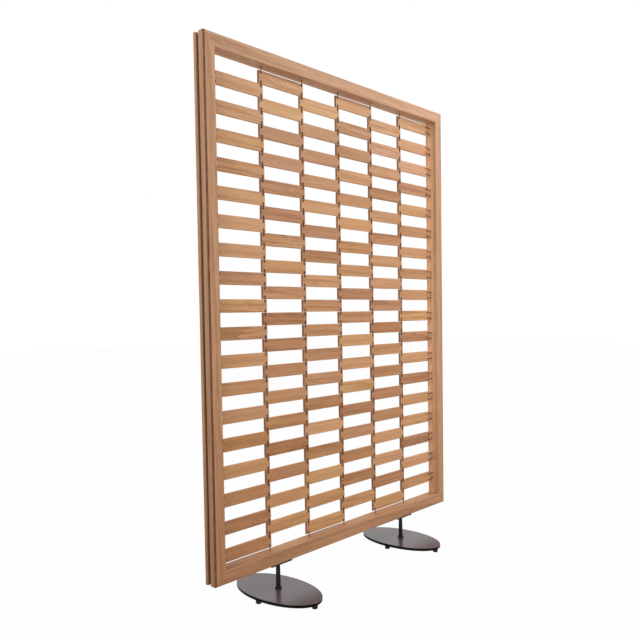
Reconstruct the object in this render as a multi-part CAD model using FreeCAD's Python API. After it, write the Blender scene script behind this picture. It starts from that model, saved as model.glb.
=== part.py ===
# Garden privacy screen: a mitred teak frame, laced with slats on cords, standing on two oval feet.
#
# Millimetres. +Z is up, the front faces -Y and +X is to the right seen from the front.
# The origin lies on the ground, in the middle of the screen: X = 0 halfway between the stiles,
# Y = 0 at half the depth of the frame, Z = 0 under the levelling feet.
import FreeCAD, Part
import math
import os

from FreeCAD import Vector

# ---------------------------------------------------------------- driving dimensions

# frame
panel_height = 1880.0
panel_width = 1440.0
frame_face = 49.0            # width of stiles and rails seen from the front
frame_depth = 57.0           # front to back
outer_arris = 4.0            # rounding of the outer long edges
inner_arris = 5.0            # rounding of the inner long edges
groove_width = 12.0          # groove round the outside of the frame
groove_depth = 10.0
groove_arris = 2.0           # rounding of the groove's two mouth edges
lacing_y = 6.0               # groove, cord holes and slats lie this far behind the middle

# loose tenons inside the mitres
tenon_wall = 2.0             # least wood between a mortise and the groove or the inner arris
tenon_width = 18.0           # along the mitre
tenon_thickness = 12.0       # front to back
tenon_clearance = 0.1

# slats
column_count = 6
slats_per_column = 18
slat_thickness = 10.0
slat_arris = 1.5
slat_end_lap = 10.0          # slat end to the middle of its end holes
slat_hole_inset = 10.0       # slat's long edge to the middle of a hole
joint_gap = 1.2              # between stacked slat ends on one cord
rail_gap = 13.0              # between the end slats and the rails
side_tie = 30.0              # stile's inner face to the outer slat holes, on average
net_shift = -8.0             # middle of the slats from the middle of the frame

# cords
cord_diameter = 3.0
cord_seat = 0.3              # cord surface to the wood that it lies on
cord_hole_spare = 0.25       # a cord hole's radius is the cord's diameter and this
cord_bend_spare = 1.0        # a tight bend's radius is the cord's diameter and this
tie_bend_radius = 12.0       # gentle bends of the side ties
tie_bend_out = 2.0           # bend points stand this far out from stile face and slat end
knot_room = 2.0              # between a knot and each wall of the groove
knot_sink = 3.0              # knots end this far below the outside of the frame
knot_arris = 2.0
side_tail_length = 40.0      # last tie hole to the end of a side cord
side_tail_straight = 8.0     # straight end of a side cord, under its knot
side_tail_slope = 14.0       # height over which the tail leaves the groove's bottom

# feet
foot_height = 130.0          # ground to the underside of the frame
foot_inset = 325.0           # frame's outer side to the middle of a post
base_width = 230.0           # oval plate, along the screen
base_depth = 400.0           # oval plate, front to back
base_thickness = 12.0
base_arris = 1.5
post_top_diameter = 16.0
post_bottom_diameter = 19.0
post_spigot_diameter = 12.0
collar_diameter = 26.0
collar_height = 6.0
collar_arris = 1.0
fit_clearance = 0.1          # radial, of pieces that are pushed together and fixed

# plate between post and frame, with its wood screws
mount_length = 110.0
mount_inset = 3.0            # plate's long edges to the front and back of the frame
mount_thickness = 5.0
mount_corner = 4.0
screw_edge_x = 13.0          # plate's short edges to the middles of the screws
screw_edge_y = 8.0           # plate's long edges to the middles of the screws
screw_diameter = 5.0
screw_head_diameter = 9.4
screw_head_height = 3.0
screw_reach = 29.0           # screw inside the rail
screw_point = 5.0
screw_tip_radius = 0.5
screw_hole_spare = 1.0       # pilot hole is deeper than the screw by this much
screw_socket_across = 3.0
screw_socket_depth = 2.0

# bolt that holds the base plate to the post
bolt_diameter = 10.0
bolt_head_diameter = 19.0
bolt_head_height = 5.0
bolt_reach = 30.0            # bolt inside the post
bolt_hole_spare = 4.0        # the post's hole is deeper than the bolt by this much
bolt_socket_across = 6.0
bolt_socket_depth = 4.0

# levelling feet
stud_diameter = 8.0
stud_hole_floor = 2.5        # plate left above the tapped hole
stud_spare = 2.5             # hole left above the stud as the screen stands
stud_fit = 0.05              # radial running clearance in the tapped hole
stud_flange_diameter = 14.0
stud_flange_height = 3.0
stud_flange_floor = 4.0      # pad material under the flange
pad_diameter = 22.0
pad_height = 12.0
pad_gap = 2.0                # between pad and base plate as the screen stands
pad_inset = 13.0             # plate's edge to the middle of a pad
pad_bottom_arris = 3.0
pad_top_arris = 1.0

# spare length of cutting tools beyond the wood or metal that they cut
cut_spare = 2.0

# ---------------------------------------------------------------- derived sizes

half_width = panel_width / 2
half_depth = frame_depth / 2
opening_width = panel_width - 2 * frame_face
opening_height = panel_height - 2 * frame_face
stack_count = 2 * slats_per_column
slat_height = (opening_height - 2 * rail_gap - (stack_count - 1) * joint_gap) / stack_count
slat_step = slat_height + joint_gap
column_pitch = (opening_width - 2 * side_tie) / column_count
slat_length = column_pitch + 2 * slat_end_lap
lowest_slat = foot_height + frame_face + rail_gap + slat_height / 2
tenon_room = frame_face - groove_depth - inner_arris - 2 * tenon_wall
tenon_length = math.sqrt(2) * tenon_room - tenon_width
tenon_inset = (frame_face + groove_depth - inner_arris) / 2
cord_radius = cord_diameter / 2
cord_hole_radius = cord_diameter + cord_hole_spare
cord_bend_radius = cord_diameter + cord_bend_spare
cord_offset = slat_thickness / 2 + cord_seat + cord_radius     # cord's middle from the slat's
hole_rise = slat_height / 2 - slat_hole_inset
knot_radius = groove_width / 2 - knot_room
knot_height = groove_depth - knot_sink
panel_top = foot_height + panel_height
base_bottom = pad_height + pad_gap
base_top = base_bottom + base_thickness
stud_hole_depth = base_thickness - stud_hole_floor
stud_engagement = stud_hole_depth - stud_spare
mount_bottom = foot_height - mount_thickness
mount_depth = frame_depth - 2 * mount_inset
stile_inner = half_width - frame_face

parts_folder = "parts"


# ---------------------------------------------------------------- helpers

def rounded_path(points, radii, closed):
    """Straight runs through the points, joined by tangent arcs of the given radii."""
    count = len(points)
    starts = []
    ends = []
    middles = []
    for i, point in enumerate(points):
        at_end = not closed and i in (0, count - 1)
        if at_end or radii[i] == 0:
            starts.append(point)
            ends.append(point)
            middles.append(None)
            continue
        back = (points[i - 1] - point).normalize()
        ahead = (points[(i + 1) % count] - point).normalize()
        half_angle = back.getAngle(ahead) / 2
        tangent = radii[i] / math.tan(half_angle)
        bisector = (back + ahead).normalize()
        centre = point + bisector * (radii[i] / math.sin(half_angle))
        starts.append(point + back * tangent)
        ends.append(point + ahead * tangent)
        middles.append(centre - bisector * radii[i])
    edges = []
    for i in range(count):
        if middles[i] is not None:
            edges.append(Part.Arc(starts[i], middles[i], ends[i]).toShape())
        following = (i + 1) % count
        if (closed or following != 0) and (ends[i] - starts[following]).Length > 1e-6:
            edges.append(Part.LineSegment(ends[i], starts[following]).toShape())
    return edges


def cylinder(radius, height, base, direction=Vector(0, 0, 1)):
    return Part.makeCylinder(radius, height, base, direction)


def turned(profile, radii, place):
    """Solid of revolution about Z from an (r, z) outline, moved to its place."""
    points = [Vector(r, 0, z) for r, z in profile]
    face = Part.Face(Part.Wire(rounded_path(points, radii, True)))
    solid = face.revolve(Vector(0, 0, 0), Vector(0, 0, 1), 360)
    solid.translate(place)
    return solid


def save(name, solids):
    """Writes one sub-part: a single solid, or a group of separate solids."""
    shape = solids[0] if len(solids) == 1 else Part.makeCompound(solids)
    assert shape.isValid(), name
    shape.exportStep(os.path.join(parts_folder, name + ".step"))


# ---------------------------------------------------------------- frame

def frame_member(length, groove_y):
    """One stile or rail: outer face at x = 0, running along +Z, mitred at both ends."""
    back_wall = groove_y + groove_width / 2
    front_wall = groove_y - groove_width / 2
    outline = [
        (0, -half_depth, outer_arris),
        (frame_face, -half_depth, inner_arris),
        (frame_face, half_depth, inner_arris),
        (0, half_depth, outer_arris),
        (0, back_wall, groove_arris),
        (groove_depth, back_wall, 0),
        (groove_depth, front_wall, 0),
        (0, front_wall, groove_arris),
    ]
    points = [Vector(x, y, 0) for x, y, _ in outline]
    radii = [radius for _, _, radius in outline]
    bar = Part.Face(Part.Wire(rounded_path(points, radii, True))).extrude(Vector(0, 0, length))
    near = -cut_spare
    far = frame_face + cut_spare
    low = [Vector(near, 0, near), Vector(far, 0, far), Vector(far, 0, near)]
    for flip in (False, True):
        corners = [Vector(p.x, -frame_depth, length - p.z if flip else p.z) for p in low]
        face = Part.Face(Part.makePolygon(corners + corners[:1]))
        bar = bar.cut(face.extrude(Vector(0, 2 * frame_depth, 0)))
    return bar


def placed_member(length, side):
    """A member moved to its side of the frame; half a turn brings its back to the front."""
    turned_about = side in ("right", "bottom")
    member = frame_member(length, -lacing_y if turned_about else lacing_y)
    if side == "left":
        member.translate(Vector(-half_width, 0, foot_height))
    elif side == "right":
        member.rotate(Vector(0, 0, 0), Vector(0, 0, 1), 180)
        member.translate(Vector(half_width, 0, foot_height))
    elif side == "bottom":
        member.rotate(Vector(0, 0, 0), Vector(1, 0, 1), 180)
        member.translate(Vector(-half_width, 0, foot_height))
    else:
        member.rotate(Vector(0, 0, 0), Vector(0, 1, 0), 90)
        member.translate(Vector(-half_width, 0, panel_top))
    return member


def corner_tenon(side_x, top, clearance):
    """Loose tenon across one mitre; with the clearance added it is the mortise."""
    length = tenon_length + 2 * clearance
    width = tenon_width + 2 * clearance
    thickness = tenon_thickness + 2 * clearance
    tenon = Part.makeBox(length, thickness, width, Vector(-length / 2, -thickness / 2, -width / 2))
    tilt = 45 if (side_x > 0) != top else -45
    tenon.rotate(Vector(0, 0, 0), Vector(0, 1, 0), tilt)
    z = panel_top - tenon_inset if top else foot_height + tenon_inset
    tenon.translate(Vector(side_x * (half_width - tenon_inset), 0, z))
    return tenon


def slat_centre(column, row):
    """Height of a slat's middle: odd columns sit low, even columns half a pitch higher."""
    offset = slat_step if column % 2 == 0 else 0
    return lowest_slat + offset + 2 * slat_step * row


def tie_heights(column):
    """Heights of the tie holes in a stile, from the top down."""
    heights = []
    for row in reversed(range(slats_per_column)):
        heights.append(slat_centre(column, row) + hole_rise)
        heights.append(slat_centre(column, row) - hole_rise)
    return heights


def make_stile(side_x, column):
    stile = placed_member(panel_height, "left" if side_x < 0 else "right")
    holes = []
    for z in tie_heights(column):
        start = Vector(side_x * (half_width - groove_depth + cut_spare), lacing_y, z)
        depth = frame_face - groove_depth + 2 * cut_spare
        holes.append(cylinder(cord_hole_radius, depth, start, Vector(-side_x, 0, 0)))
    mortises = [corner_tenon(side_x, top, tenon_clearance) for top in (False, True)]
    return stile.cut(holes + mortises)


def cord_line(index):
    """X of the vertical cord between column index and column index + 1."""
    return net_shift - opening_width / 2 + side_tie + index * column_pitch


def rail_hole_ends(top):
    """Where a cord hole meets the rail's inner face, and where it meets the groove's bottom."""
    if top:
        inner = Vector(0, lacing_y - cord_offset, panel_top - frame_face)
        outer = Vector(0, lacing_y, panel_top - groove_depth)
    else:
        inner = Vector(0, lacing_y - cord_offset, foot_height + frame_face)
        outer = Vector(0, lacing_y, foot_height + groove_depth)
    return inner, outer


def rail_cord_holes(top):
    inner, outer = rail_hole_ends(top)
    direction = (outer - inner).normalize()
    length = (outer - inner).Length + 2 * cut_spare
    holes = []
    for index in range(1, column_count):
        start = inner - direction * cut_spare + Vector(cord_line(index), 0, 0)
        holes.append(cylinder(cord_hole_radius, length, start, direction))
    return holes


def make_rail(top):
    rail = placed_member(panel_width, "top" if top else "bottom")
    tools = rail_cord_holes(top)
    tools += [corner_tenon(side_x, top, tenon_clearance) for side_x in (-1, 1)]
    if not top:
        for side_x in (-1, 1):
            for place in screw_places(side_x):
                depth = screw_reach + screw_hole_spare
                tools.append(cylinder(screw_diameter / 2 + fit_clearance, depth, place))
    return rail.cut(tools)


# ---------------------------------------------------------------- slats

def make_slat():
    """One slat about the origin, with two cord holes near each end."""
    corner = Vector(-slat_length / 2, -slat_thickness / 2, -slat_height / 2)
    slat = Part.makeBox(slat_length, slat_thickness, slat_height, corner)
    slat = slat.makeFillet(slat_arris, slat.Edges)
    holes = []
    for x in (-column_pitch / 2, column_pitch / 2):
        for z in (-hole_rise, hole_rise):
            start = Vector(x, -slat_thickness, z)
            holes.append(cylinder(cord_hole_radius, 2 * slat_thickness, start, Vector(0, 1, 0)))
    return slat.cut(holes)


def make_column(slat, column):
    middle_x = cord_line(column) - column_pitch / 2
    slats = []
    for row in range(slats_per_column):
        copy = slat.copy()
        copy.translate(Vector(middle_x, lacing_y, slat_centre(column, row)))
        slats.append(copy)
    return slats


# ---------------------------------------------------------------- cords

def swept_cord(points, radii, name):
    """Round cord along the points, checked against its section times its length."""
    wire = Part.Wire(rounded_path(points, radii, False))
    direction = (points[1] - points[0]).normalize()
    section = Part.Wire([Part.Circle(points[0], direction, cord_radius).toShape()])
    cord = wire.makePipeShell([section], True, False)
    expected = math.pi * cord_radius ** 2 * wire.Length
    used = sorted(set(round(r, 2) for r in radii if r > 0))
    print("%s: length %.0f mm, volume ratio %.4f, bend radii %s mm"
          % (name, wire.Length, cord.Volume / expected, used))
    return cord


def mesh_cord(index):
    """Vertical lacing: in front across each joint, behind across each slat."""
    x = cord_line(index)
    top_inner, top_outer = rail_hole_ends(True)
    low_inner, low_outer = rail_hole_ends(False)
    points = [top_outer + Vector(x, 0, cord_seat), top_inner + Vector(x, 0, 0)]
    for step in reversed(range(stack_count)):
        middle = lowest_slat + slat_step * step
        for z, order in ((middle + hole_rise, (-1, 1)), (middle - hole_rise, (1, -1))):
            points += [Vector(x, lacing_y + cord_offset * side, z) for side in order]
    points += [low_inner + Vector(x, 0, 0), low_outer + Vector(x, 0, -cord_seat)]
    radii = [0, tie_bend_radius] + [cord_bend_radius] * (len(points) - 4) + [tie_bend_radius, 0]
    return points, radii


def side_cord(side_x, column):
    """Side lacing: from the groove through the stile, round each slat's end and back."""
    groove_x = half_width - groove_depth + cord_seat + cord_radius
    knot_x = half_width - groove_depth + cord_seat + knot_radius
    hole_x = stile_inner - side_tie + side_x * net_shift
    slat_end = hole_x + slat_end_lap
    heights = tie_heights(column)
    first = heights[0]
    last = heights[-1]
    route = [(knot_x, 0, first + side_tail_length, 0)]
    route.append((knot_x, 0, first + side_tail_length - side_tail_straight, tie_bend_radius))
    route.append((groove_x, 0, first + side_tail_length - side_tail_straight - side_tail_slope,
                  tie_bend_radius))
    for upper, lower in zip(heights[0::2], heights[1::2]):
        into = [
            (groove_x, 0, cord_bend_radius),
            (stile_inner - tie_bend_out, 0, tie_bend_radius),
            (slat_end + tie_bend_out, -cord_offset, tie_bend_radius),
            (hole_x, -cord_offset, cord_bend_radius),
            (hole_x, cord_offset, cord_bend_radius),
        ]
        route += [(x, y, upper, radius) for x, y, radius in into]
        route += [(x, y, lower, radius) for x, y, radius in reversed(into)]
    route.append((groove_x, 0, last - side_tail_length + side_tail_straight + side_tail_slope,
                  tie_bend_radius))
    route.append((knot_x, 0, last - side_tail_length + side_tail_straight, tie_bend_radius))
    route.append((knot_x, 0, last - side_tail_length, 0))
    points = [Vector(side_x * x, lacing_y + y, z) for x, y, z, _ in route]
    radii = [radius for _, _, _, radius in route]
    return points, radii


def knot(end, direction):
    """Stopper knot: a short rounded barrel on the end of a cord."""
    barrel = cylinder(knot_radius, knot_height, end, direction)
    return barrel.makeFillet(knot_arris, [e for e in barrel.Edges if e.Closed])


# ---------------------------------------------------------------- feet

def foot_x(side_x):
    return side_x * (half_width - foot_inset)


def screw_places(side_x):
    """Middles of the wood screws on the frame's underside."""
    along = mount_length / 2 - screw_edge_x
    across = mount_depth / 2 - screw_edge_y
    places = []
    for dx in (-along, along):
        for dy in (-across, across):
            places.append(Vector(foot_x(side_x) + dx, dy, foot_height))
    return places


def countersink(head_radius, shank_radius, head_height, base):
    return Part.makeCone(head_radius, shank_radius, head_height, base, Vector(0, 0, 1))


def hexagon_socket(across, depth, base):
    radius = across / math.sqrt(3)
    corners = []
    for i in range(7):
        angle = math.radians(60 * i)
        corners.append(base + Vector(radius * math.cos(angle), radius * math.sin(angle), 0))
    return Part.Face(Part.makePolygon(corners)).extrude(Vector(0, 0, depth))


def make_mount_plate(side_x):
    corner = Vector(foot_x(side_x) - mount_length / 2, -mount_depth / 2, mount_bottom)
    plate = Part.makeBox(mount_length, mount_depth, mount_thickness, corner)
    upright = [e for e in plate.Edges if abs(e.tangentAt(e.FirstParameter).z) > 0.9]
    plate = plate.makeFillet(mount_corner, upright)
    spigot_hole = cylinder(post_spigot_diameter / 2 + fit_clearance, mount_thickness,
                           Vector(foot_x(side_x), 0, mount_bottom))
    tools = [spigot_hole]
    for place in screw_places(side_x):
        base = place - Vector(0, 0, mount_thickness)
        tools.append(cylinder(screw_diameter / 2 + fit_clearance, mount_thickness, base))
        tools.append(countersink(screw_head_diameter / 2 + fit_clearance,
                                 screw_diameter / 2 + fit_clearance, screw_head_height, base))
    return plate.cut(tools)


def make_screw(place):
    """Countersunk wood screw, driven up through the plate into the rail."""
    radius = screw_diameter / 2
    base = Vector(place.x, place.y, mount_bottom)
    straight = mount_thickness + screw_reach - screw_point
    screw = countersink(screw_head_diameter / 2, radius, screw_head_height, base)
    shank = cylinder(radius, straight - screw_head_height, base + Vector(0, 0, screw_head_height))
    tip = Part.makeCone(radius, screw_tip_radius, screw_point, base + Vector(0, 0, straight))
    screw = screw.fuse([shank, tip]).removeSplitter()
    return screw.cut(hexagon_socket(screw_socket_across, screw_socket_depth, base))


def make_post(side_x):
    """Turned post: tapered shank, spigot into the plate above, tapped hole from below."""
    top = mount_bottom - base_top
    spigot = post_spigot_diameter / 2
    thread = bolt_diameter / 2 + fit_clearance
    bore = bolt_reach + bolt_hole_spare
    profile = [
        (thread, 0), (post_bottom_diameter / 2, 0), (post_top_diameter / 2, top),
        (spigot, top), (spigot, top + mount_thickness), (0, top + mount_thickness),
        (0, bore), (thread, bore),
    ]
    return turned(profile, [0] * len(profile), Vector(foot_x(side_x), 0, base_top))


def make_collar(side_x):
    """Ring round the post's lower end, standing on the base plate."""
    taper = (post_bottom_diameter - post_top_diameter) / 2 / (mount_bottom - base_top)
    low = post_bottom_diameter / 2 + fit_clearance
    high = low - taper * collar_height
    outer = collar_diameter / 2
    profile = [(low, 0), (outer, 0), (outer, collar_height), (high, collar_height)]
    radii = [0, 0, collar_arris, 0]
    return turned(profile, radii, Vector(foot_x(side_x), 0, base_top))


def pad_places(side_x):
    """Middles of the four levelling feet of one base, with the words for their places."""
    along = base_width / 2 - pad_inset
    across = base_depth / 2 - pad_inset
    x = foot_x(side_x)
    return [
        ("outer", Vector(x + side_x * along, 0, 0)),
        ("inner", Vector(x - side_x * along, 0, 0)),
        ("front", Vector(x, -across, 0)),
        ("back", Vector(x, across, 0)),
    ]


def make_base(side_x):
    """Oval plate with rounded edges, a countersunk bolt hole and four tapped blind holes."""
    ellipse = Part.Ellipse(Vector(0, 0, 0), base_depth / 2, base_width / 2)
    plate = Part.Face(Part.Wire([ellipse.toShape()])).extrude(Vector(0, 0, base_thickness))
    plate = plate.makeFillet(base_arris, [e for e in plate.Edges if e.Closed])
    plate.rotate(Vector(0, 0, 0), Vector(0, 0, 1), 90)
    middle = Vector(foot_x(side_x), 0, base_bottom)
    plate.translate(middle)
    clear = bolt_diameter / 2 + fit_clearance
    tools = [
        cylinder(clear, base_thickness, middle),
        countersink(bolt_head_diameter / 2 + fit_clearance, clear, bolt_head_height, middle),
    ]
    for _, place in pad_places(side_x):
        start = Vector(place.x, place.y, base_bottom)
        tools.append(cylinder(stud_diameter / 2 + stud_fit, stud_hole_depth, start))
    return plate.cut(tools)


def make_bolt(side_x):
    base = Vector(foot_x(side_x), 0, base_bottom)
    radius = bolt_diameter / 2
    bolt = countersink(bolt_head_diameter / 2, radius, bolt_head_height, base)
    length = base_thickness + bolt_reach
    shank = cylinder(radius, length - bolt_head_height, base + Vector(0, 0, bolt_head_height))
    bolt = bolt.fuse(shank).removeSplitter()
    return bolt.cut(hexagon_socket(bolt_socket_across, bolt_socket_depth, base))


def make_stud(place):
    """Levelling stud: shank in the base plate, flange moulded into the pad."""
    shank = stud_diameter / 2
    flange = stud_flange_diameter / 2
    low = stud_flange_floor
    high = low + stud_flange_height
    top = base_bottom + stud_engagement
    profile = [(0, low), (flange, low), (flange, high), (shank, high), (shank, top), (0, top)]
    return turned(profile, [0] * len(profile), place)


def make_pad(place):
    """Round pad with a rounded foot, closed round the stud's flange."""
    outer = pad_diameter / 2
    shank = stud_diameter / 2
    flange = stud_flange_diameter / 2
    low = stud_flange_floor
    high = low + stud_flange_height
    profile = [
        (0, 0), (outer, 0), (outer, pad_height), (shank, pad_height), (shank, high),
        (flange, high), (flange, low), (0, low),
    ]
    radii = [0, pad_bottom_arris, pad_top_arris, 0, 0, 0, 0, 0]
    return turned(profile, radii, place)


# ---------------------------------------------------------------- build

def build_frame():
    save("left_stile", [make_stile(-1, 1)])
    save("right_stile", [make_stile(1, column_count)])
    save("top_rail", [make_rail(True)])
    save("bottom_rail", [make_rail(False)])
    for side_x, side in ((-1, "left"), (1, "right")):
        save("corner_tenon_top_" + side, [corner_tenon(side_x, True, 0)])
        save("corner_tenon_bottom_" + side, [corner_tenon(side_x, False, 0)])


def build_mesh():
    slat = make_slat()
    for column in range(1, column_count + 1):
        save("slats_column_%d" % column, make_column(slat, column))
    top_knots = []
    bottom_knots = []
    for index in range(1, column_count):
        points, radii = mesh_cord(index)
        name = "mesh_cord_%d" % index
        save(name, [swept_cord(points, radii, name)])
        top_knots.append(knot(points[0], (points[0] - points[1]).normalize()))
        bottom_knots.append(knot(points[-1], (points[-1] - points[-2]).normalize()))
    save("mesh_cord_knots_top", top_knots)
    save("mesh_cord_knots_bottom", bottom_knots)
    for side_x, side, column in ((-1, "left", 1), (1, "right", column_count)):
        points, radii = side_cord(side_x, column)
        name = "side_cord_" + side
        save(name, [swept_cord(points, radii, name)])
        save("side_cord_knots_" + side, [knot(points[0], Vector(0, 0, 1)),
                                         knot(points[-1], Vector(0, 0, -1))])


def build_feet():
    for side_x, side in ((-1, "left"), (1, "right")):
        save("mounting_plate_" + side, [make_mount_plate(side_x)])
        save("mounting_screws_" + side, [make_screw(p) for p in screw_places(side_x)])
        save("post_" + side, [make_post(side_x)])
        save("post_collar_" + side, [make_collar(side_x)])
        save("base_plate_" + side, [make_base(side_x)])
        save("base_bolt_" + side, [make_bolt(side_x)])
        for word, place in pad_places(side_x):
            save("levelling_stud_%s_%s" % (side, word), [make_stud(place)])
            save("levelling_pad_%s_%s" % (side, word), [make_pad(place)])


os.makedirs(parts_folder, exist_ok=True)
build_frame()
build_mesh()
build_feet()
print("slat %.1f x %.1f x %.1f mm, column pitch %.1f mm"
      % (slat_length, slat_height, slat_thickness, column_pitch))
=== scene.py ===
import math

import bpy
from mathutils import Matrix, Vector


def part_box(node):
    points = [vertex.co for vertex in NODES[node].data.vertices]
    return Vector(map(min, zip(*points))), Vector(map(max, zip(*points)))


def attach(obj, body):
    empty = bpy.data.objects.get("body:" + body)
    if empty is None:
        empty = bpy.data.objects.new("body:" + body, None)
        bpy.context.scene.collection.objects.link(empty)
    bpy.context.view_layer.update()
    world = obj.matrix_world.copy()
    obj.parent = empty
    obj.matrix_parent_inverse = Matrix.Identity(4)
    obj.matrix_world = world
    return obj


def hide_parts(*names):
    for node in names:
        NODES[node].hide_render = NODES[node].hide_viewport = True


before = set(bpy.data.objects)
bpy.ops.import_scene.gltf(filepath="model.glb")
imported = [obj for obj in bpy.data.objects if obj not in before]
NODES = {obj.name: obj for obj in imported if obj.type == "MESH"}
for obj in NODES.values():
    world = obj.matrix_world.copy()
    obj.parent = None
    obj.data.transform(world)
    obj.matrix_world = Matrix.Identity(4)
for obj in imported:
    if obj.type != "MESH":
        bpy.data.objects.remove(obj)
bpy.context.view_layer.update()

# Garden privacy screen: materials, lights and camera around the fixed frame.
# Metres. The front of the screen faces -Y, and the ground is at Z = 0.

SCENE = bpy.context.scene
SIDES = ("left", "right")
COLUMNS = range(1, 7)
CORDS = range(1, 6)
BODY = "screen"              # everything but the levelling feet
MM = 0.001
X_AXIS = 0
Z_AXIS = 2
WHITE = (1.0, 1.0, 1.0, 1.0)

# ---------------------------------------------------------------- sizes read from the frame

PANEL_LOW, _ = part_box("left_stile")
_, PANEL_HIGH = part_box("right_stile")
RAIL_LOW, RAIL_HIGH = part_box("bottom_rail")
FRAME_FACE = RAIL_HIGH.z - RAIL_LOW.z
HALF_WIDTH = PANEL_HIGH.x
HALF_DEPTH = PANEL_HIGH.y
PANEL_MIDDLE = (PANEL_LOW.z + PANEL_HIGH.z) / 2
PANEL_HALF = (PANEL_HIGH.z - PANEL_LOW.z) / 2
STILE_INNER = HALF_WIDTH - FRAME_FACE
GROOVE_DEPTH = 10.0 * MM
SLATS_LOW, SLATS_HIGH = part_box("slats_column_1")
LACING_Y = (SLATS_LOW.y + SLATS_HIGH.y) / 2
ROWS = 18
SLAT_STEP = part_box("slats_column_2")[0].z - SLATS_LOW.z     # even columns hang this much higher
SLAT_GAP = 1.2 * MM          # between stacked slat ends of two columns
SLAT_HEIGHT = SLAT_STEP - SLAT_GAP
LOWEST_SLAT = SLATS_LOW.z + SLAT_HEIGHT / 2
HOLE_FROM_END = 10.0 * MM
HOLE_FROM_EDGE = 10.0 * MM
HOLE_RISE = SLAT_HEIGHT / 2 - HOLE_FROM_EDGE                # from the slat's middle


# ---------------------------------------------------------------- shader helpers

class Nodes:
    """A node tree, with short calls for the nodes used here."""

    def __init__(self, tree):
        self.tree = tree

    def feed(self, socket, value):
        """Links a node's output to the socket, or sets the socket to a plain value."""
        if isinstance(value, bpy.types.NodeSocket):
            self.tree.links.new(value, socket)
        else:
            socket.default_value = value

    def node(self, kind, inputs=(), **settings):
        """New node with its settings, fed with a value or an output for each named input."""
        made = self.tree.nodes.new("ShaderNode" + kind)
        for key, value in settings.items():
            setattr(made, key, value)
        for key, value in dict(inputs).items():
            self.feed(made.inputs[key], value)
        return made

    def place(self):
        """Position on the object, in metres."""
        return self.node("TexCoord").outputs["Object"]

    def split(self, vector):
        made = self.node("SeparateXYZ", {0: vector})
        return made.outputs[0], made.outputs[1], made.outputs[2]

    def join(self, x, y, z):
        return self.node("CombineXYZ", {0: x, 1: y, 2: z}).outputs[0]

    def math(self, operation, first, second=0.0, third=0.0):
        inputs = {0: first, 1: second, 2: third}
        return self.node("Math", inputs, operation=operation).outputs[0]

    def vector_math(self, operation, first, second=(0, 0, 0)):
        inputs = {0: first, 1: second}
        return self.node("VectorMath", inputs, operation=operation).outputs[0]

    def noise(self, vector, scale, detail=2.0, roughness=0.5, distortion=0.0):
        inputs = {"Vector": vector, "Scale": scale, "Detail": detail,
                  "Roughness": roughness, "Distortion": distortion}
        return self.node("TexNoise", inputs).outputs["Fac"]

    def random(self, vector):
        """A random number and three more, the same for the same vector."""
        made = self.node("TexWhiteNoise", {"Vector": vector}, noise_dimensions="3D")
        return made.outputs["Value"], made.outputs["Color"]

    def ramp(self, factor, low, high, out_low=0.0, out_high=1.0):
        """Linear map from low..high to out_low..out_high, clamped."""
        inputs = {"Value": factor, "From Min": low, "From Max": high,
                  "To Min": out_low, "To Max": out_high}
        return self.node("MapRange", inputs, clamp=True).outputs["Result"]

    def mix(self, factor, first, second, blend="MIX"):
        """Colour mix; 0, 6 and 7 are the Mix node's factor and colour sockets."""
        inputs = {0: factor, 6: first, 7: second}
        return self.node("Mix", inputs, data_type="RGBA", blend_type=blend).outputs[2]

    def tint(self, colour, red, green, blue):
        return self.mix(1.0, colour, self.join(red, green, blue), "MULTIPLY")

    def bump(self, height, strength, distance):
        inputs = {"Height": height, "Strength": strength, "Distance": distance}
        return self.node("Bump", inputs).outputs["Normal"]

    def rays(self, *kinds):
        """1 for a ray of any of these kinds, which are outputs of Light Path."""
        path = self.node("LightPath").outputs
        share = path[kinds[0]]
        for kind in kinds[1:]:
            share = self.math("MAXIMUM", share, path[kind])
        return share

    def show(self, output, share, first, second):
        """Mixes two shaders and sends them to the output node's surface."""
        blend = self.node("MixShader", {0: share, 1: first.outputs[0], 2: second.outputs[0]})
        self.feed(self.tree.nodes[output].inputs["Surface"], blend.outputs[0])


class Shader(Nodes):
    """A material's node tree."""

    def __init__(self, name):
        self.material = bpy.data.materials.new(name)
        self.material.use_nodes = True
        super().__init__(self.material.node_tree)
        self.surface = self.tree.nodes["Principled BSDF"]

    def set(self, **sockets):
        """Sets or links sockets of the surface; underscores in names stand for spaces."""
        for key, value in sockets.items():
            self.feed(self.surface.inputs[key.replace("_", " ")], value)


def srgb(red, green, blue):
    """Linear colour from 0-255 display values."""
    def linear(value):
        value /= 255
        return value / 12.92 if value <= 0.04045 else ((value + 0.055) / 1.055) ** 2.4
    return linear(red), linear(green), linear(blue), 1.0


def paint(node, material):
    """Gives a CAD node this material and no other."""
    mesh = NODES[node].data
    mesh.materials.clear()
    mesh.materials.append(material)


# ---------------------------------------------------------------- wood

# Each pattern's stretch along the grain, as a share of its scale across it.
FIGURE_STRETCH = 0.03
STREAK_STRETCH = 0.018
PORE_STRETCH = 0.05
DRIFT_STRETCH = 0.35

# Scale of each pattern across the grain, in features a metre.
SWAY_SCALE = 8.0
FIGURE_SCALE = 36.0
RING_SCALE = 20.0
DRIFT_SCALE = 9.0
STREAK_SCALE = 190.0
FIBRE_SCALE = 1100.0
PORE_SCALE = 1400.0

SWAY_REACH = 0.05            # metres that the figure and the rings wander across the timber
DRIFT_REACH = 0.07           # metres that the streaks and the fibre wander

# Strength of each pattern. Rings and streaks are multiplied by the timber's contrast.
RING_SHARE = 0.5
DARK_STREAK_SHARE = 0.68
PALE_STREAK_SHARE = 0.45
FIBRE_SHARE = 0.16
PORE_SHARE = 0.45

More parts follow.
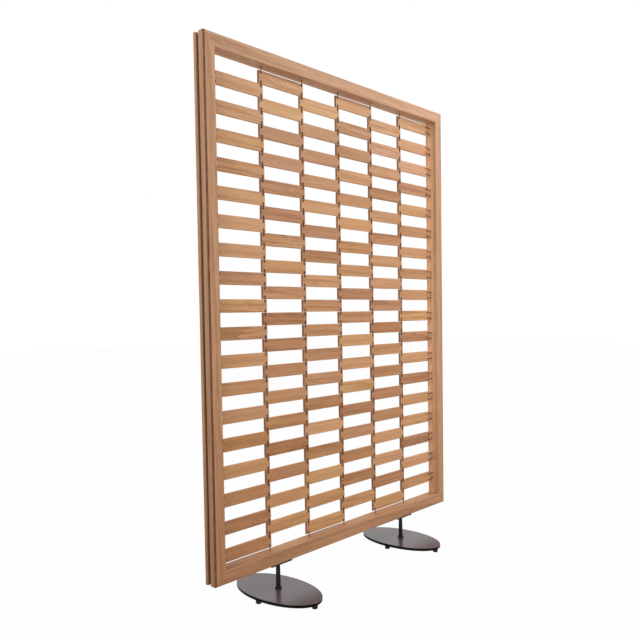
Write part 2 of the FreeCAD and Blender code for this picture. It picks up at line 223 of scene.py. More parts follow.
FRAME_TONES = (srgb(214, 167, 127), srgb(196, 144, 102), srgb(156, 104, 66))
SLAT_TONES = (srgb(224, 172, 127), srgb(203, 145, 98), srgb(148, 92, 52))
PORE_TONE = srgb(112, 74, 48)
END_GRAIN = srgb(104, 60, 40)
# Colour of the painted shade along the outer front arris.
ARRIS_SHADE_TONE = srgb(98, 50, 16)
# Colour of the painted shade in the groove and along its mouth.
GROOVE_SHADE_TONE = srgb(72, 42, 22)
FRAME_CONTRAST = 0.85
SLAT_CONTRAST = (0.25, 1.15)  # plainest and most figured slat

# The frame's and the slats' share of the painted light and shade (darker and browner towards the
# foot and the left, paler towards the top and the right), and where the browner foot ends.
FRAME_PAINTED_LIGHT = 1.0
SLAT_PAINTED_LIGHT = 0.45
FOOT_REACH = 0.95
LEFT_LOSS = 0.02
RIGHT_GAIN = 0.11
FOOT_AND_UPPER = ((0.84, 1.04), (0.78, 1.05), (0.74, 1.07))   # red, green and blue

# Shade of a frame member's parts, as a share of the plain wood: a tone for each half, painted shade
# on the outer side faces, and painted shade towards the front and painted light towards the rear of
# the stiles' inner faces.
FRONT_HALF_SHADE = 0.94
REAR_HALF_SHADE = 1.05
OUTER_PAINTED_SHADE = 0.60
INNER_FRONT_PAINTED_SHADE = 0.84
INNER_REAR_PAINTED_LIGHT = 1.18

# Where the shades change: from the middle of the groove, behind the front face, below the
# outer side face, round the inner faces, and through the frame's depth on the inner faces.
HALVES_BLEND = 0.5 * MM
FRONT_BLEND = (0.5 * MM, 5.0 * MM)
OUTER_BLEND = (2.0 * MM, 0.5 * MM)
INNER_REACH = 1.5 * MM
INNER_BLEND = (-14.0 * MM, -6.0 * MM)

# Place and width of the painted shade along the outer front arris.
ARRIS_INSET = 1.4 * MM       # middle of the dark arris line from both faces
ARRIS_REACH = 6.0 * MM
# Painted shade in the groove that runs round the outside of the frame, and along its mouth.
MOUTH_REACH = 9.0 * MM       # groove's dark zone from the middle of the groove
GROOVE_PAINTED_SHADE = 0.72
DUSK_START = 0.5 * MM        # depths below the outer edge where the groove starts to darken,
DUSK_FULL = 7.0 * MM         # is darkest, and turns to plain wood again behind its bottom
DUSK_END = GROOVE_DEPTH + 1.0 * MM
DUSK_GONE = GROOVE_DEPTH + 4.0 * MM
# Painted shade on the outer side faces along the groove's mouth.
LIP_PAINTED_SHADE = 0.45
LIP_BLEND = (1.5 * MM, 0.5 * MM)
ARRIS_BREAK_SCALE = 22.0

# A slat's darkest and palest shade, and how strongly green and blue follow it.
SLAT_SHADE = (0.80, 1.13)
GREEN_POWER = 1.25
BLUE_POWER = 1.6
GREEN_SPREAD = (0.96, 1.02)
BLUE_SPREAD = (0.86, 1.08)
FIGURED_POWER = 1.5          # above 1, more slats are plain than figured
LOG_OFFSET = (7.0, 5.0, 9.0)  # metres within which each slat's place in the log is drawn
SLAT_SEED = 3.7
END_BLEND = (0.3 * MM, 1.6 * MM)
END_SHARE = 0.75


def grain_coordinates(shader, position, axis, stretch):
    """Position scaled along the grain's axis, which draws a pattern out when below 1."""
    scale = [1.0, 1.0, 1.0]
    scale[axis] = stretch
    return shader.vector_math("MULTIPLY", position, tuple(scale))


def shifted(shader, position, amount):
    """Position moved by the same amount on every axis."""
    return shader.vector_math("ADD", position, shader.join(amount, amount, amount))


def rings_and_figure(shader, position, axis):
    """Broad growth rings and the soft figure that wanders with them."""
    drawn = grain_coordinates(shader, position, axis, FIGURE_STRETCH)
    sway = shader.math("MULTIPLY", shader.noise(drawn, SWAY_SCALE, detail=2.0), SWAY_REACH)
    swayed = shifted(shader, drawn, sway)
    figure = shader.noise(swayed, FIGURE_SCALE, detail=4.0, roughness=0.6, distortion=0.8)
    rings = shader.node("TexWave", {"Vector": swayed, "Scale": RING_SCALE, "Distortion": 7.0,
                                    "Detail": 3.0, "Detail Scale": 1.3,
                                    "Detail Roughness": 0.62},
                        wave_type="BANDS", bands_direction="DIAGONAL",
                        wave_profile="SAW").outputs["Fac"]
    return rings, figure


def streaks_and_fibre(shader, position, axis):
    """Long streaks and fine fibre, which drift slowly across the timber."""
    slow = grain_coordinates(shader, position, axis, DRIFT_STRETCH)
    drift = shader.math("SUBTRACT", shader.noise(slow, DRIFT_SCALE, detail=1.0), 0.5)
    drifted = shifted(shader, position, shader.math("MULTIPLY", drift, DRIFT_REACH))
    long_grain = grain_coordinates(shader, drifted, axis, STREAK_STRETCH)
    streaks = shader.noise(long_grain, STREAK_SCALE, detail=4.0, roughness=0.62, distortion=0.2)
    fibre = shader.noise(long_grain, FIBRE_SCALE, detail=2.0, roughness=0.6)
    return streaks, fibre


def teak_colour(shader, position, axis, tones, contrast):
    """Soft figure, long streaks and short open pores: colour, relief and roughness."""
    pale, middle, dark = tones
    rings, figure = rings_and_figure(shader, position, axis)
    streaks, fibre = streaks_and_fibre(shader, position, axis)
    pores = grain_coordinates(shader, position, axis, PORE_STRETCH)
    pore_mask = shader.ramp(shader.noise(pores, PORE_SCALE, detail=1.0), 0.68, 0.78)

    ring_share = shader.math("MULTIPLY", contrast, RING_SHARE)
    dark_share = shader.math("MULTIPLY", contrast, DARK_STREAK_SHARE)
    pale_share = shader.math("MULTIPLY", contrast, PALE_STREAK_SHARE)
    colour = shader.mix(shader.ramp(figure, 0.32, 0.68), pale, middle)
    colour = shader.mix(shader.ramp(rings, 0.45, 1.0, 0.0, ring_share), colour, dark)
    colour = shader.mix(shader.ramp(streaks, 0.50, 0.72, 0.0, dark_share), colour, dark)
    colour = shader.mix(shader.ramp(streaks, 0.28, 0.46, pale_share, 0.0), colour, pale)
    colour = shader.mix(shader.ramp(fibre, 0.35, 0.65, 0.0, FIBRE_SHARE), colour, dark)
    colour = shader.mix(shader.math("MULTIPLY", pore_mask, PORE_SHARE), colour, PORE_TONE)
    relief = shader.math("SUBTRACT", shader.math("MULTIPLY", streaks, 0.6), pore_mask)
    roughness = shader.ramp(streaks, 0.3, 0.7, 0.48, 0.62)
    return colour, relief, roughness


def finish_teak(shader, colour, relief, roughness):
    shader.set(Base_Color=colour, Roughness=roughness, Specular_IOR_Level=0.3,
               Normal=shader.bump(relief, strength=0.18, distance=0.5 * MM))
    return shader.material


def painted_light_gradient(shader, colour, position, share):
    """Painted light and shade: darker and browner towards the foot and the left, paler towards the
    top and the right.
    """
    x, _, z = shader.split(position)
    sideways = shader.ramp(x, -HALF_WIDTH, HALF_WIDTH,
                           1.0 - LEFT_LOSS * share, 1.0 + RIGHT_GAIN * share)
    tone = []
    for foot, upper in FOOT_AND_UPPER:
        lift = shader.ramp(z, PANEL_LOW.z, FOOT_REACH,
                           1.0 - (1.0 - foot) * share, 1.0 + (upper - 1.0) * share)
        tone.append(shader.math("MULTIPLY", lift, sideways))
    return shader.tint(colour, *tone)


def near(shader, value, middle, reach):
    """1 where value is at middle, falling to 0 at reach from it."""
    away = shader.math("ABSOLUTE", shader.math("SUBTRACT", value, middle))
    return shader.ramp(away, 0.0, reach, 1.0, 0.0)


def face_tone_and_painted_shade(shader, side, y):
    """Tone of a frame member's front and rear halves, with painted shade on the outer side faces
    and painted shade towards the front and painted light towards the rear of the stiles' inner
    faces.
    """
    halves = shader.ramp(y, LACING_Y - HALVES_BLEND, LACING_Y + HALVES_BLEND,
                         FRONT_HALF_SHADE, REAR_HALF_SHADE)
    front_face = shader.ramp(y, FRONT_BLEND[0] - HALF_DEPTH, FRONT_BLEND[1] - HALF_DEPTH, 1.0, 0.0)
    shade = shader.math("MAXIMUM", halves, front_face)
    # Painted shade on the outer side faces.
    outer = shader.ramp(side, HALF_WIDTH - OUTER_BLEND[0], HALF_WIDTH - OUTER_BLEND[1],
                        1.0, OUTER_PAINTED_SHADE)
    # Painted shade towards the front and painted light towards the rear of the stiles' inner faces.
    inner = near(shader, side, STILE_INNER, INNER_REACH)
    depth = shader.ramp(y, *INNER_BLEND, INNER_FRONT_PAINTED_SHADE, INNER_REAR_PAINTED_LIGHT)
    depth = shader.math("MULTIPLY_ADD", shader.math("SUBTRACT", depth, 1.0), inner, 1.0)
    return shader.math("MULTIPLY", shader.math("MULTIPLY", shade, outer), depth)


def arris_painted_shade_mask(shader, position, side, y):
    """Painted shade: a thin dark line along the stiles' outer front arris, broken up a little."""
    arris = shader.math("MULTIPLY", near(shader, side, HALF_WIDTH - ARRIS_INSET, ARRIS_REACH),
                        near(shader, y, ARRIS_INSET - HALF_DEPTH, ARRIS_REACH))
    unevenness = shader.ramp(shader.noise(position, ARRIS_BREAK_SCALE, detail=3.0), 0.25, 0.6, 0.75, 1.0)
    return shader.math("MULTIPLY", shader.ramp(arris, 0.12, 0.36), unevenness)


def below_edge(shader, distance, edge):
    """1 as deep as the groove, for distances and an edge counted from the panel's middle."""
    sunk = shader.ramp(distance, edge - DUSK_FULL, edge - DUSK_START, 1.0, 0.0)
    above_bottom = shader.ramp(distance, edge - DUSK_GONE, edge - DUSK_END)
    return shader.math("MULTIPLY", sunk, above_bottom)


def groove_painted_shade_mask(shader, side, up, y):
    """Painted shade inside the groove that runs round the outside of the frame."""
    in_mouth = shader.ramp(near(shader, y, LACING_Y, MOUTH_REACH), 0.05, 0.3)
    sunk = shader.math("MAXIMUM", below_edge(shader, side, HALF_WIDTH),
                       below_edge(shader, up, PANEL_HALF))
    return shader.math("MULTIPLY", shader.math("MULTIPLY", sunk, in_mouth), GROOVE_PAINTED_SHADE)


def lip_painted_shade_mask(shader, side, y):
    """Painted shade on the outer side faces, along the groove."""
    by_mouth = shader.ramp(near(shader, y, LACING_Y, MOUTH_REACH), 0.02, 0.2)
    on_side = shader.ramp(side, HALF_WIDTH - LIP_BLEND[0], HALF_WIDTH - LIP_BLEND[1])
    return shader.math("MULTIPLY", shader.math("MULTIPLY", by_mouth, on_side), LIP_PAINTED_SHADE)


def frame_teak(name, axis):
    """A frame member, with painted shade along the outer arris, in and along the groove and on the
    outer side faces, and painted light and shade on the inner faces and from foot to top.
    """
    shader = Shader(name)
    position = shader.place()
    x, y, z = shader.split(position)
    side = shader.math("ABSOLUTE", x)
    up = shader.math("ABSOLUTE", shader.math("SUBTRACT", z, PANEL_MIDDLE))
    colour, relief, roughness = teak_colour(shader, position, axis, FRAME_TONES, FRAME_CONTRAST)
    # Painted light and shade: darker towards the foot and the left, paler towards the top and the
    # right.
    colour = painted_light_gradient(shader, colour, position, FRAME_PAINTED_LIGHT)
    # Tone of the halves, with painted shade on the outer side faces and painted light and shade on
    # the inner faces.
    shade = face_tone_and_painted_shade(shader, side, y)
    colour = shader.tint(colour, shade, shade, shade)
    # Painted shade along the stiles' outer front arris.
    colour = shader.mix(arris_painted_shade_mask(shader, position, side, y), colour, ARRIS_SHADE_TONE)
    # Painted shade inside the groove.
    colour = shader.mix(groove_painted_shade_mask(shader, side, up, y), colour, GROOVE_SHADE_TONE)
    # Painted shade on the outer side faces along the groove.
    colour = shader.mix(lip_painted_shade_mask(shader, side, y), colour, GROOVE_SHADE_TONE)
    return finish_teak(shader, colour, relief, roughness)


def slat_teak(column):
    """One column's slats: every slat has its own log, figure, tone and warmth, and dark ends."""
    low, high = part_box("slats_column_%d" % column)
    shader = Shader("teak_slats_%d" % column)
    position = shader.place()
    x, _, z = shader.split(position)
    row = shader.math("FLOOR", shader.ramp(z, low.z, high.z, 0.0, ROWS - 0.5))
    chance, chances = shader.random(shader.join(float(column), row, SLAT_SEED))
    warmth, figured, pinkness = shader.split(chances)

    log_place = shader.vector_math("ADD", position,
                                   shader.vector_math("MULTIPLY", chances, LOG_OFFSET))
    contrast = shader.ramp(shader.math("POWER", figured, FIGURED_POWER), 0.0, 1.0, *SLAT_CONTRAST)
    colour, relief, roughness = teak_colour(shader, log_place, X_AXIS, SLAT_TONES, contrast)
    # Painted light and shade: darker towards the foot and the left, paler towards the top and the
    # right.
    colour = painted_light_gradient(shader, colour, position, SLAT_PAINTED_LIGHT)

    red = shader.ramp(chance, 0.0, 1.0, *SLAT_SHADE)
    green = shader.math("MULTIPLY", shader.math("POWER", red, GREEN_POWER),
                        shader.ramp(warmth, 0.0, 1.0, *GREEN_SPREAD))
    blue = shader.math("MULTIPLY", shader.math("POWER", red, BLUE_POWER),
                       shader.ramp(pinkness, 0.0, 1.0, *BLUE_SPREAD))
    colour = shader.tint(colour, red, green, blue)

    end = shader.math("MINIMUM", shader.math("SUBTRACT", x, low.x),
                      shader.math("SUBTRACT", high.x, x))
    colour = shader.mix(shader.ramp(end, *END_BLEND, END_SHARE, 0.0), colour, END_GRAIN)
    return finish_teak(shader, colour, relief, roughness)


def dress_wood():
    upright = frame_teak("teak_stile", Z_AXIS)
    level = frame_teak("teak_rail", X_AXIS)
    for side in SIDES:
        paint(side + "_stile", upright)
        for end in ("top", "bottom"):
            paint("corner_tenon_%s_%s" % (end, side), level)
    for end in ("top", "bottom"):
        paint(end + "_rail", level)
    for column in COLUMNS:
        paint("slats_column_%d" % column, slat_teak(column))


# ---------------------------------------------------------------- metal and plastic

POST_TONE = srgb(28, 21, 24)
POST_CLOUD = (1.15, 0.003)   # gain and lift of the paler clouds in the posts' coat
POST_DUST = srgb(150, 140, 132)
POST_ROUGHNESS = (0.42, 0.52)
PLATE_TONES = (srgb(64, 48, 52), srgb(74, 57, 60))
PLATE_DUST = srgb(160, 150, 142)
# Colour of the painted shade round the plate's edge.
PLATE_EDGE_SHADE_TONE = srgb(14, 9, 12)
# Colour of the thin painted highlight along the rim of the plate's top.
PLATE_RIM_HIGHLIGHT = srgb(150, 138, 136)
EDGE_BLEND = (1.6 * MM, 0.4 * MM)      # below the plate's top
RIM_DEPTH = 0.25 * MM        # middle of the thin painted highlight round the plate's top
RIM_REACH = 0.35 * MM
TOP_SPECULAR = 0.72
EDGE_SPECULAR = 0.05
MEAN_SPECULAR = 0.55         # stands in where the varying one can't be used
STEEL_TONES = (srgb(190, 190, 188), srgb(150, 148, 142))
BRUSH_SCALE = 20.0           # how much closer the brush marks lie along the axis
PLASTIC_TONE = srgb(12, 11, 12)
PLASTIC_SCUFF = srgb(50, 46, 45)


def post_coat(name):
    """Satin powder coat: fine orange peel, faint cloudiness and dust."""
    shader = Shader(name)
    position = shader.place()
    peel = shader.noise(position, scale=900.0, detail=2.0)
    cloud = shader.noise(position, scale=9.0, detail=3.0)
    dust = shader.noise(position, scale=60.0, detail=4.0, roughness=0.7)
    gain, lift = POST_CLOUD
    paler = tuple(part * gain + lift for part in POST_TONE[:3]) + (1.0,)
    tone = shader.mix(shader.ramp(cloud, 0.35, 0.65), POST_TONE, paler)
    tone = shader.mix(shader.ramp(dust, 0.6, 0.8, 0.0, 0.08), tone, POST_DUST)
    shader.set(Base_Color=tone, Specular_IOR_Level=0.22,
               Normal=shader.bump(peel, strength=0.10, distance=0.3 * MM),
               Roughness=shader.ramp(dust, 0.3, 0.8, *POST_ROUGHNESS))
    return shader.material


def base_coat(name):
    """The base plates' satin coat: dark warm grey above, painted shade that makes it nearly black
    round the edge, and a thin painted highlight along the rim of the top.
    """
    shader = Shader(name)
    position = shader.place()
    _, _, z = shader.split(position)
    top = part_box("base_plate_left")[1].z
    peel = shader.noise(position, scale=260.0, detail=1.0)
    cloud = shader.noise(position, scale=7.0, detail=3.0)
    dust = shader.noise(position, scale=40.0, detail=2.0)
    tone = shader.mix(shader.ramp(cloud, 0.3, 0.7), *PLATE_TONES)
    tone = shader.mix(shader.ramp(dust, 0.62, 0.82, 0.0, 0.025), tone, PLATE_DUST)
    # Painted shade round the plate's edge.
    edge = shader.ramp(z, top - EDGE_BLEND[0], top - EDGE_BLEND[1], 1.0, 0.0)
    tone = shader.mix(edge, tone, PLATE_EDGE_SHADE_TONE)
    # Thin painted highlight along the rim of the plate's top.
    rim_highlight = near(shader, z, top - RIM_DEPTH, RIM_REACH)
    tone = shader.mix(shader.math("MULTIPLY", rim_highlight, 0.25), tone, PLATE_RIM_HIGHLIGHT)
    shader.set(Specular_IOR_Level=MEAN_SPECULAR)
    shader.set(Base_Color=tone, Normal=shader.bump(peel, strength=0.02, distance=0.1 * MM),
               Specular_IOR_Level=shader.ramp(edge, 0.0, 1.0, TOP_SPECULAR, EDGE_SPECULAR),
               Roughness=shader.ramp(dust, 0.3, 0.8, 0.22, 0.28))
    return shader.material


def bare_steel(name):
    """Zinc-plated steel with fine brush marks and a little tarnish."""
    shader = Shader(name)
    position = shader.place()
    around = grain_coordinates(shader, position, Z_AXIS, BRUSH_SCALE)
    brushed = shader.noise(around, scale=600.0, detail=3.0)
    tarnish = shader.noise(position, scale=120.0, detail=3.0)
    tone = shader.mix(shader.ramp(tarnish, 0.4, 0.7), *STEEL_TONES)
    shader.set(Base_Color=tone, Metallic=1.0,
               Normal=shader.bump(brushed, strength=0.1, distance=0.2 * MM),
               Roughness=shader.ramp(tarnish, 0.3, 0.7, 0.28, 0.45))
    return shader.material


def black_plastic(name):
    """Moulded pads with a fine texture and paler scuffs."""
    shader = Shader(name)
    position = shader.place()
    texture = shader.noise(position, scale=1400.0, detail=2.0)
    scuff = shader.noise(position, scale=90.0, detail=4.0, roughness=0.7)
    tone = shader.mix(shader.ramp(scuff, 0.55, 0.8, 0.0, 0.3), PLASTIC_TONE, PLASTIC_SCUFF)
    shader.set(Base_Color=tone, Specular_IOR_Level=0.3,
               Normal=shader.bump(texture, strength=0.15, distance=0.3 * MM),
               Roughness=shader.ramp(scuff, 0.3, 0.8, 0.5, 0.7))
    return shader.material


def dress_hardware():
    base = base_coat("powder_coat_base")
    post = post_coat("powder_coat_post")
    steel = bare_steel("zinc_steel")
    plastic = black_plastic("pad_plastic")
    for side in SIDES:
        paint("base_plate_" + side, base)
        for part in ("mounting_plate_", "post_", "post_collar_"):
            paint(part + side, post)
        for part in ("mounting_screws_", "base_bolt_"):
            paint(part + side, steel)
        for place in ("outer", "inner", "front", "back"):
            paint("levelling_stud_%s_%s" % (side, place), steel)
            paint("levelling_pad_%s_%s" % (side, place), plastic)


# ---------------------------------------------------------------- cords

CORD_RADIUS = 1.5 * MM
CORD_OFFSET = 6.9 * MM       # cord's middle from the slat's middle
CORD_SEAT = 0.3 * MM         # gap between the groove's bottom and what lies in it
BEND_OUT = 2.0 * MM          # side ties turn this far off the stile and the slat's end
CORD_SHADE_AND_TONE = (srgb(36, 22, 15), srgb(84, 56, 38))      # painted shade between the strands, and the cord's tone on them
CORD_FUZZ = srgb(110, 84, 66)
CORD_RUBBED = srgb(96, 68, 50)
CORNER_REACH = 4.2 * MM      # a cord leaves a straight run this far before a corner
LONG_RUN = 2.3 * CORNER_REACH
RING_STEP = 1.0 * MM
BEND_RINGS = 3               # at least this many on a bend
CORD_SIDES = 12
PLAIT_PITCH = 7.0 * MM
PLAIT_STRANDS = 3
PLAIT_DEPTH = 0.16 * MM
YARNS = 5.0                  # yarns side by side in a strand
KNOT_HEIGHT = 7.0 * MM
KNOT_TURN = 2.55 * MM
KNOT_RISE = 1.9 * MM
KNOT_POINTS = 44
TAIL_LENGTH = 40.0 * MM      # last tie hole to the end of a side cord
TAIL_STRAIGHT = 8.0 * MM
TAIL_SLOPE = 14.0 * MM
KNOT_RADIUS = 4.0 * MM


def with_taut_runs(points):
    """Adds a point near both ends of each long run, so that the taut runs stay straight."""
    filled = [points[0]]
    for before, after in zip(points, points[1:]):
        run = after - before
        if run.length > LONG_RUN:
            step = run.normalized() * CORNER_REACH
            filled += [before + step, after - step]
        filled.append(after)
    return filled


def smooth_line(points):
    """Quadratic curve that touches the middle of each run, as evenly spaced points."""
    dense = [points[0]]
    for before, corner, after in zip(points, points[1:], points[2:]):
        start = (before + corner) / 2
        end = (corner + after) / 2
        length = (corner - start).length + (end - corner).length
        count = max(BEND_RINGS, math.ceil(length / RING_STEP))
        for i in range(count):
            t = i / count
            dense.append(start * (1 - t) ** 2 + corner * (2 * t * (1 - t)) + end * t ** 2)
    dense.append(points[-1])
    return dense


def plait_radius(angle, phase):
    """Radius of the plaited cord at an angle round it: strands cross and swell."""
    swell = max(math.sin(PLAIT_STRANDS * angle + phase), math.sin(PLAIT_STRANDS * angle - phase))
    return CORD_RADIUS - PLAIT_DEPTH * (1 - swell) / 2


def cord_rings(line, closed):
    """A ring of vertices round each point of the line, and each ring's distance along it."""
    count = len(line)
    vertices = []
    distances = []
    side = None
    travelled = 0.0
    for i, point in enumerate(line):
        ahead = line[(i + 1) % count] if closed or i + 1 < count else point
        behind = line[i - 1] if closed or i > 0 else point
        direction = (ahead - behind).normalized()
        if side is None:
            side = direction.orthogonal().normalized()
        side = (side - direction * side.dot(direction)).normalized()
        across = direction.cross(side)
        if i > 0:
            travelled += (point - line[i - 1]).length
        distances.append(travelled)
        phase = 2 * math.pi * travelled / PLAIT_PITCH
        for k in range(CORD_SIDES):
            angle = 2 * math.pi * k / CORD_SIDES
            outward = side * math.cos(angle) + across * math.sin(angle)
            vertices.append(point + outward * plait_radius(angle, phase))
    return vertices, distances


def cord_skin(first, distances, closed):
    """Faces between the rings, with UV corners that run round and along the cord."""
    count = len(distances)
    faces = []
    uvs = []
    for i in range(count if closed else count - 1):
        following = (i + 1) % count
        ring = first + i * CORD_SIDES
        next_ring = first + following * CORD_SIDES
        low = distances[i] / PLAIT_PITCH
        end = distances[i] + RING_STEP if following == 0 else distances[following]
        high = end / PLAIT_PITCH
        for k in range(CORD_SIDES):
            beside = (k + 1) % CORD_SIDES
            faces.append((ring + k, ring + beside, next_ring + beside, next_ring + k))
            left = k / CORD_SIDES
            right = (k + 1) / CORD_SIDES
            uvs += [left, low, right, low, right, high, left, high]
    if not closed:
        last = first + (count - 1) * CORD_SIDES
        faces.append(tuple(first + k for k in reversed(range(CORD_SIDES))))
        faces.append(tuple(last + k for k in range(CORD_SIDES)))
        uvs += [0.5, 0.0] * CORD_SIDES * 2
    return faces, uvs


def cord_mesh(name, lines, closed=False):
    """Plaited round cord along each line."""
    vertices = []
    faces = []
    uvs = []
    for line in lines:
        ring_vertices, distances = cord_rings(line, closed)
        ring_faces, ring_uvs = cord_skin(len(vertices), distances, closed)
        vertices += ring_vertices
        faces += ring_faces
        uvs += ring_uvs
    mesh = bpy.data.meshes.new(name)
    mesh.from_pydata(vertices, [], faces)
    layer = mesh.uv_layers.new(name="cord")
    layer.data.foreach_set("uv", uvs)
    mesh.shade_smooth()
    return mesh


def braid(name):
    """Dark braided cord: crossing strands of fine yarn with painted shade between them, paler where
    they are rubbed.
    """
    shader = Shader(name)
    place = shader.node("TexCoord")
    position = place.outputs["Object"]
    round_cord, along_cord, _ = shader.split(place.outputs["UV"])
    turn = shader.math("MULTIPLY", round_cord, 2 * math.pi * PLAIT_STRANDS)
    travel = shader.math("MULTIPLY", along_cord, 2 * math.pi)
    one_way = shader.math("ADD", turn, travel)
    other_way = shader.math("SUBTRACT", turn, travel)
    strands = shader.math("MAXIMUM", shader.math("SINE", one_way), shader.math("SINE", other_way))
    yarn = shader.math("SINE", shader.math("MULTIPLY", one_way, YARNS))
    fuzz = shader.noise(position, scale=2600.0, detail=3.0)
    rubbed = shader.noise(position, scale=35.0, detail=2.0)
    # Painted shade between the strands.
    tone = shader.mix(shader.ramp(strands, -0.2, 1.0), *CORD_SHADE_AND_TONE)
    tone = shader.mix(shader.ramp(fuzz, 0.5, 0.8, 0.0, 0.3), tone, CORD_FUZZ)
    tone = shader.mix(shader.ramp(rubbed, 0.45, 0.7, 0.0, 0.2), tone, CORD_RUBBED)
    height = shader.math("ADD", strands, shader.math("MULTIPLY", yarn, 0.25))
    shader.set(Base_Color=tone, Roughness=0.85, Specular_IOR_Level=0.2,
               Normal=shader.bump(height, strength=0.35, distance=0.2 * MM))
    return shader.material


def add_piece(name, mesh, material, *replaced):
    """A piece that stands for CAD nodes and moves with the screen."""
    mesh.materials.append(material)
    piece = bpy.data.objects.new(name, mesh)
    SCENE.collection.objects.link(piece)
    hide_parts(*replaced)
    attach(piece, BODY)


def slat_middles(column):
    """Heights of a column's slats from the top down."""
    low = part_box("slats_column_%d" % column)[0].z + SLAT_HEIGHT / 2
    return [low + 2 * SLAT_STEP * row for row in reversed(range(ROWS))]


def vertical_route(x):
    """Down through every stacked slat end: in front across the joints, behind the slats."""
    front = LACING_Y - CORD_OFFSET
    back = LACING_Y + CORD_OFFSET
    low = PANEL_LOW.z
    high = PANEL_HIGH.z
    route = [(LACING_Y, high - GROOVE_DEPTH + CORD_SEAT), (front, high - FRAME_FACE)]
    for step in reversed(range(2 * ROWS)):
        middle = LOWEST_SLAT + SLAT_STEP * step
        route += [(front, middle + HOLE_RISE), (back, middle + HOLE_RISE),
                  (back, middle - HOLE_RISE), (front, middle - HOLE_RISE)]
    route += [(front, low + FRAME_FACE), (LACING_Y, low + GROOVE_DEPTH - CORD_SEAT)]
    return [Vector((x, y, z)) for y, z in route]


def side_route(side_x, column):
    """From the groove through the stile, round each slat's end and back, all the way down."""
    groove_x = HALF_WIDTH - GROOVE_DEPTH + CORD_SEAT + CORD_RADIUS
    knot_x = HALF_WIDTH - GROOVE_DEPTH + CORD_SEAT + KNOT_RADIUS
    low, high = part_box("slats_column_%d" % column)
    slat_end = high.x if side_x > 0 else -low.x
    hole_x = slat_end - HOLE_FROM_END
    middles = slat_middles(column)
    first = middles[0] + HOLE_RISE
    last = middles[-1] - HOLE_RISE
    route = [(knot_x, 0.0, first + TAIL_LENGTH),
             (knot_x, 0.0, first + TAIL_LENGTH - TAIL_STRAIGHT),
             (groove_x, 0.0, first + TAIL_LENGTH - TAIL_STRAIGHT - TAIL_SLOPE)]
    for middle in middles:
        into = [(groove_x, 0.0), (STILE_INNER - BEND_OUT, 0.0), (slat_end + BEND_OUT, -CORD_OFFSET),
                (hole_x, -CORD_OFFSET), (hole_x, CORD_OFFSET)]
        route += [(x, y, middle + HOLE_RISE) for x, y in into]
        route += [(x, y, middle - HOLE_RISE) for x, y in reversed(into)]
    route += [(groove_x, 0.0, last - TAIL_LENGTH + TAIL_STRAIGHT + TAIL_SLOPE),
              (knot_x, 0.0, last - TAIL_LENGTH + TAIL_STRAIGHT),
              (knot_x, 0.0, last - TAIL_LENGTH)]
    return [Vector((side_x * x, LACING_Y + y, z)) for x, y, z in route]


def knot_line(end, direction):
    """Closed line of an overhand knot that sits on the end of a cord."""
    turn = Vector((0, 0, 1)).rotation_difference(direction)
    centre = end + direction * KNOT_HEIGHT / 2
    line = []
    for i in range(KNOT_POINTS):
        t = 2 * math.pi * i / KNOT_POINTS
        local = Vector(((math.sin(t) + 2 * math.sin(2 * t)) / 3 * KNOT_TURN,
                        (math.cos(t) - 2 * math.cos(2 * t)) / 3 * KNOT_TURN,
                        -math.sin(3 * t) * KNOT_RISE))
        line.append(centre + turn @ local)
    return line


def lace_screen():
    """All cords and knots, each in place of the CAD nodes that it stands for."""
    cord = braid("lacing_cord")
    top_knots = []
    bottom_knots = []
    for index in CORDS:
        low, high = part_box("mesh_cord_%d" % index)
        route = vertical_route((low.x + high.x) / 2)
        top_knots.append(knot_line(route[0], (route[0] - route[1]).normalized()))
        bottom_knots.append(knot_line(route[-1], (route[-1] - route[-2]).normalized()))
        name = "lacing_cord_%d" % index
        mesh = cord_mesh(name, [smooth_line(with_taut_runs(route))])
        add_piece(name, mesh, cord, "mesh_cord_%d" % index)
    for name, knots in (("top", top_knots), ("bottom", bottom_knots)):
        mesh = cord_mesh("lacing_knots_" + name, knots, closed=True)
        add_piece("lacing_knots_" + name, mesh, cord, "mesh_cord_knots_" + name)
    for side_x, side, column in ((-1, "left", COLUMNS[0]), (1, "right", COLUMNS[-1])):
        route = side_route(side_x, column)
        name = "side_lacing_" + side
        mesh = cord_mesh(name, [smooth_line(with_taut_runs(route))])
        add_piece(name, mesh, cord, "side_cord_" + side)
        knots = [knot_line(route[0], Vector((0, 0, 1))), knot_line(route[-1], Vector((0, 0, -1)))]
        name = "side_knots_" + side
        add_piece(name, cord_mesh(name, knots, closed=True), cord, "side_cord_knots_" + side)


# ---------------------------------------------------------------- floor, lights and camera

FLOOR_SIZE = 40.0
FLOOR_TONE = (0.66, 0.65, 0.64, 1.0)
FLOOR_ROUGHNESS = 0.9
FLOOR_GLOW = 0.975           # share of plain white in the floor that the camera sees
AMBIENT_STRENGTH = 0.42
SCREEN_MIDDLE = (0.0, 0.0, 1.1)

# Each lamp's name, place, target, diameter and watts.
LAMPS = (
    ("key", (2.5, -2.0, 3.3), (0.3, 0.0, 1.3), 2.2, 76.0),
    ("fill", (-4.4, -0.6, 2.8), SCREEN_MIDDLE, 3.0, 125.0),
    ("back", (-1.0, 4.5, 3.6), SCREEN_MIDDLE, 3.5, 70.0),
)


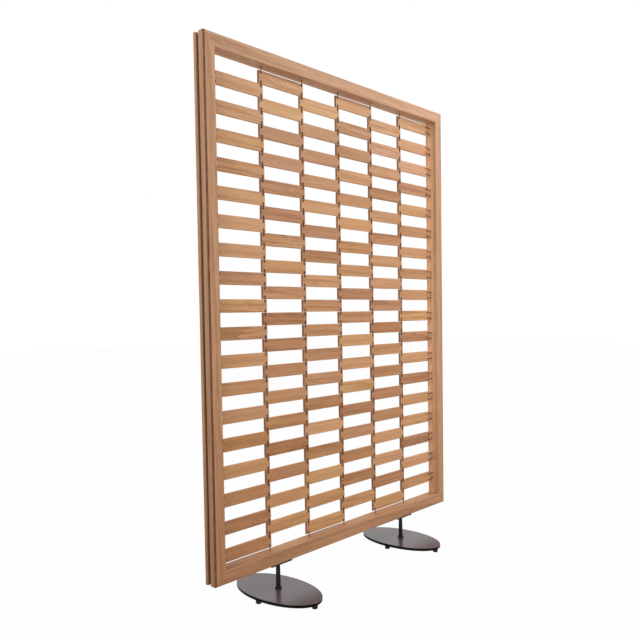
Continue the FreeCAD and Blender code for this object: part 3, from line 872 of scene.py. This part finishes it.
def make_floor():
    """Pale floor that is nearly plain white to the camera and in reflections."""
    half = FLOOR_SIZE / 2
    mesh = bpy.data.meshes.new("floor")
    corners = [(-half, -half, 0), (half, -half, 0), (half, half, 0), (-half, half, 0)]
    mesh.from_pydata(corners, [], [(0, 1, 2, 3)])
    floor = bpy.data.objects.new("floor", mesh)
    SCENE.collection.objects.link(floor)
    shader = Shader("pale_floor")
    shader.set(Base_Color=FLOOR_TONE, Roughness=FLOOR_ROUGHNESS, Specular_IOR_Level=0.0)
    white = shader.node("Emission", {"Color": WHITE, "Strength": 1.0})
    seen = shader.rays("Is Camera Ray", "Is Glossy Ray")
    glow = shader.math("MULTIPLY", seen, FLOOR_GLOW)
    shader.show("Material Output", glow, shader.surface, white)
    mesh.materials.append(shader.material)


def make_world():
    """Soft light from all around; plain white to the camera and in reflections."""
    world = bpy.data.worlds.new("studio")
    SCENE.world = world
    world.use_nodes = True
    nodes = Nodes(world.node_tree)
    ambient = nodes.tree.nodes["Background"]
    nodes.feed(ambient.inputs["Color"], WHITE)
    nodes.feed(ambient.inputs["Strength"], AMBIENT_STRENGTH)
    white = nodes.node("Background", {"Color": WHITE, "Strength": 1.0})
    seen = nodes.rays("Is Camera Ray", "Is Glossy Ray", "Is Transmission Ray")
    nodes.show("World Output", seen, ambient, white)


def area_light(name, place, target, size, power):
    data = bpy.data.lights.new(name, "AREA")
    data.shape = "DISK"
    data.size = size
    data.energy = power
    lamp = bpy.data.objects.new(name, data)
    SCENE.collection.objects.link(lamp)
    lamp.location = place
    aim = Vector(target) - Vector(place)
    lamp.rotation_euler = aim.to_track_quat("-Z", "Y").to_euler()


def make_lights():
    for lamp in LAMPS:
        area_light(*lamp)


# Camera solved from the straight edges of the frame in the 640 x 640 photograph.
CAMERA_PLACE = Vector((-2.216, -1.879, 1.062))
CAMERA_YAW = 0.8205          # from +Y towards +X
CAMERA_PITCH = -0.044        # below the horizontal
CAMERA_ROLL = -0.01635
FOCAL_PIXELS = 700.9
AXIS_PIXELS = (309.5, 344.8)  # where the camera's axis meets the photograph
PHOTO_PIXELS = 640.0
SENSOR_WIDTH = 36.0


def make_camera():
    """Plain camera, with a shift that puts its axis where the photograph has it."""
    forward = Vector((math.sin(CAMERA_YAW) * math.cos(CAMERA_PITCH),
                      math.cos(CAMERA_YAW) * math.cos(CAMERA_PITCH),
                      math.sin(CAMERA_PITCH)))
    level = Vector((math.cos(CAMERA_YAW), -math.sin(CAMERA_YAW), 0.0))
    upward = level.cross(forward)
    right = math.cos(CAMERA_ROLL) * level + math.sin(CAMERA_ROLL) * upward
    up = math.cos(CAMERA_ROLL) * upward - math.sin(CAMERA_ROLL) * level
    turn = Matrix((right, up, -forward)).transposed()
    data = bpy.data.cameras.new("camera")
    data.type = "PERSP"
    data.sensor_width = SENSOR_WIDTH
    data.lens = SENSOR_WIDTH * FOCAL_PIXELS / PHOTO_PIXELS
    data.shift_x = 0.5 - AXIS_PIXELS[0] / PHOTO_PIXELS
    data.shift_y = AXIS_PIXELS[1] / PHOTO_PIXELS - 0.5
    camera = bpy.data.objects.new("camera", data)
    camera.matrix_world = Matrix.Translation(CAMERA_PLACE) @ turn.to_4x4()
    SCENE.collection.objects.link(camera)
    SCENE.camera = camera


make_camera()
make_world()
make_lights()
make_floor()
dress_wood()
dress_hardware()
lace_screen()
SCENE.view_settings.view_transform = "Standard"
